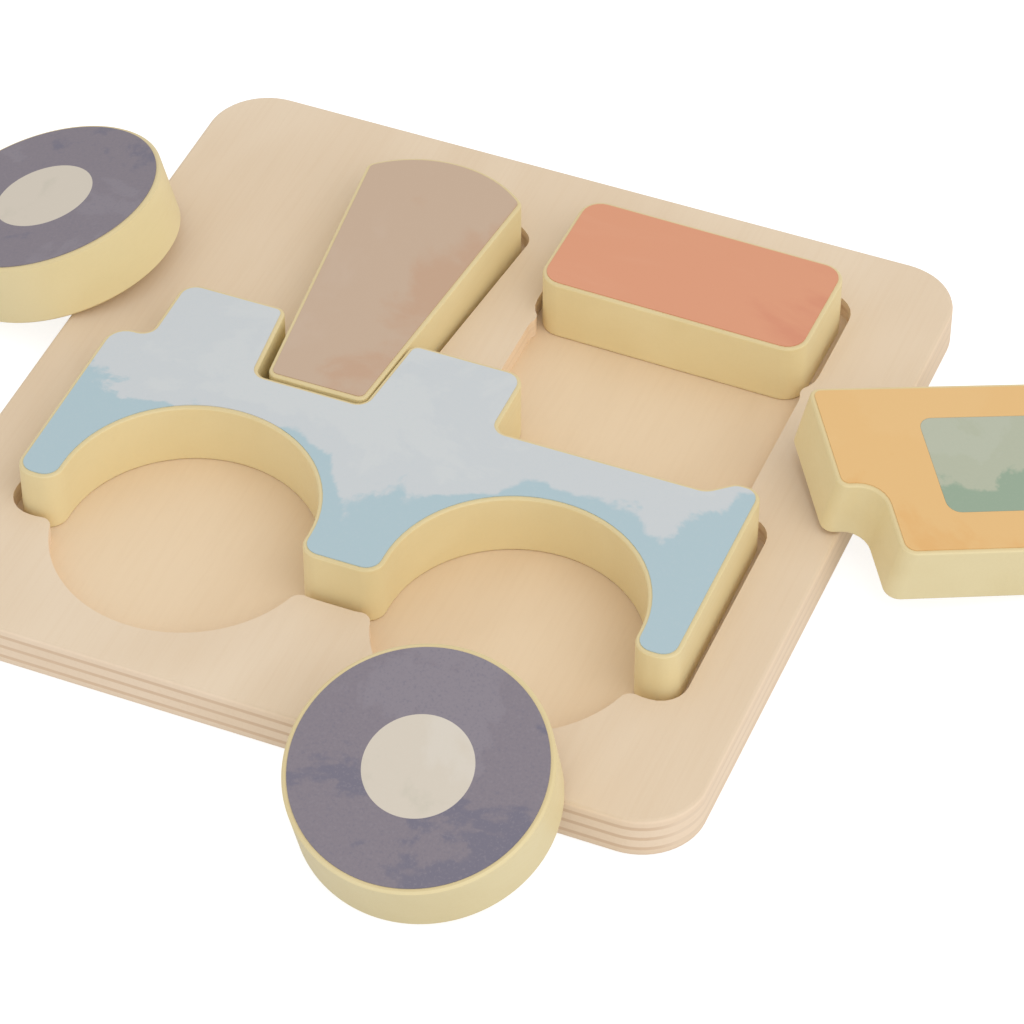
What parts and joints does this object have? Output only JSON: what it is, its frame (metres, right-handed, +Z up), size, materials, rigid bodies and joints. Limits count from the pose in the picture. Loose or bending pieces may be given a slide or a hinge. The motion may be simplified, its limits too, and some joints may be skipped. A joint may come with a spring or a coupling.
{
  "type": "chunky inset puzzle",
  "caption": "Square plywood board with a recess shaped like a locomotive, and the thick printed wooden blocks that drop into it: chassis, chimney, roof, cab and wheels",
  "frame": {"origin": "middle of the board's underside, on the table", "axes": "X along the locomotive, which faces -X; Y from its wheels to its roof; Z up"},
  "size_m": [0.2789, 0.2187, 0.0311],
  "materials": {
    "birch_face": "sanded pale veneer, bare",
    "birch_core": "pale ply, sawn edge",
    "cross_ply": "darker cross-grain ply, sawn edge",
    "recess_floor": "pale ply, bare floor of the recess, darker end grain at the edge",
    "cream_wood": "satin clear lacquer on cream wood",
    "blue_print": "printed film, mottled pale blue",
    "taupe_print": "printed film, mottled taupe",
    "salmon_print": "printed film, mottled salmon",
    "yellow_print": "printed film, mottled yellow",
    "green_print": "printed film, mottled grey-green",
    "grey_print": "printed film, mottled violet grey",
    "ivory_print": "printed film, mottled ivory"
  },
  "bodies": {
    "board": {"face_ply": "birch_face", "upper_cross_ply": "cross_ply", "upper_core_ply": "birch_core", "middle_cross_ply": "recess_floor", "lower_core_ply": "birch_core", "lower_cross_ply": "cross_ply", "back_ply": "birch_face"},
    "chassis": {"chassis_block": "cream_wood", "chassis_print": "blue_print"},
    "chimney": {"chimney_block": "cream_wood", "chimney_print": "taupe_print"},
    "roof": {"roof_block": "cream_wood", "roof_print": "salmon_print"},
    "cab": {"cab_block": "cream_wood", "cab_print": "yellow_print", "window_print": "green_print"},
    "front_wheel": {"front_wheel_block": "cream_wood", "front_tyre_print": "grey_print", "front_hub_print": "ivory_print"},
    "rear_wheel": {"rear_wheel_block": "cream_wood", "rear_tyre_print": "grey_print", "rear_hub_print": "ivory_print"}
  },
  "joints": [
    {"name": "chassis_lift", "type": "slide", "parent": "board", "child": "chassis", "axis": [0, 0, 1], "range_m": [0, 0.04]},
    {"name": "chimney_lift", "type": "slide", "parent": "board", "child": "chimney", "axis": [0, 0, 1], "range_m": [0, 0.04]},
    {"name": "roof_lift", "type": "slide", "parent": "board", "child": "roof", "axis": [0, 0, 1], "range_m": [0, 0.04]},
    {"name": "cab_lift", "type": "slide", "parent": "board", "child": "cab", "axis": [0, 0, 1], "range_m": [0, 0.04]},
    {"name": "front_wheel_lift", "type": "slide", "parent": "board", "child": "front_wheel", "axis": [0, 0, 1], "range_m": [0, 0.04]},
    {"name": "rear_wheel_lift", "type": "slide", "parent": "board", "child": "rear_wheel", "axis": [0, 0, 1], "range_m": [0, 0.04]}
  ]
}
